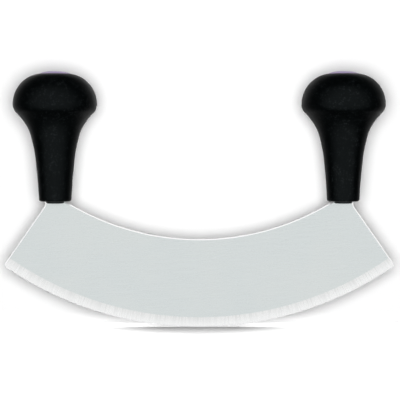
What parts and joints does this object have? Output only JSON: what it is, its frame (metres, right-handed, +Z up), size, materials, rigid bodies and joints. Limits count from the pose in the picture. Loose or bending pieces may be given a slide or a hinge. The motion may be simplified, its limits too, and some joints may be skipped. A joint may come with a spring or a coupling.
{
  "type": "mezzaluna",
  "caption": "Two-handled mincing knife: one curved ground steel blade between two upright black knob handles, held as it is rocked on its cutting edge.",
  "frame": {"origin": "lowest point of the cutting edge, in the middle of the blade's thickness: the bottom centre of the bounding box", "axes": "+X along the blade towards the right handle, +Y through the blade's thickness away from the pictured face, +Z up from the cutting edge to the knobs"},
  "size_m": [0.23, 0.0494, 0.1512],
  "materials": {
    "blade_steel": "ground stainless, fine grain along the blade, ground cutting band",
    "handle_plastic": "fine-grained moulded black plastic",
    "bush_plastic": "smooth moulded black plastic",
    "washer_steel": "plain stamped stainless washer",
    "cap_plastic": "smooth violet grey plastic, low sheen"
  },
  "bodies": {
    "root": {"blade": "blade_steel", "left_handle": "handle_plastic", "right_handle": "handle_plastic", "left_tang_bush": "bush_plastic", "right_tang_bush": "bush_plastic", "left_rivet_washer": "washer_steel", "right_rivet_washer": "washer_steel", "left_end_cap": "cap_plastic", "right_end_cap": "cap_plastic"}
  },
  "joints": []
}
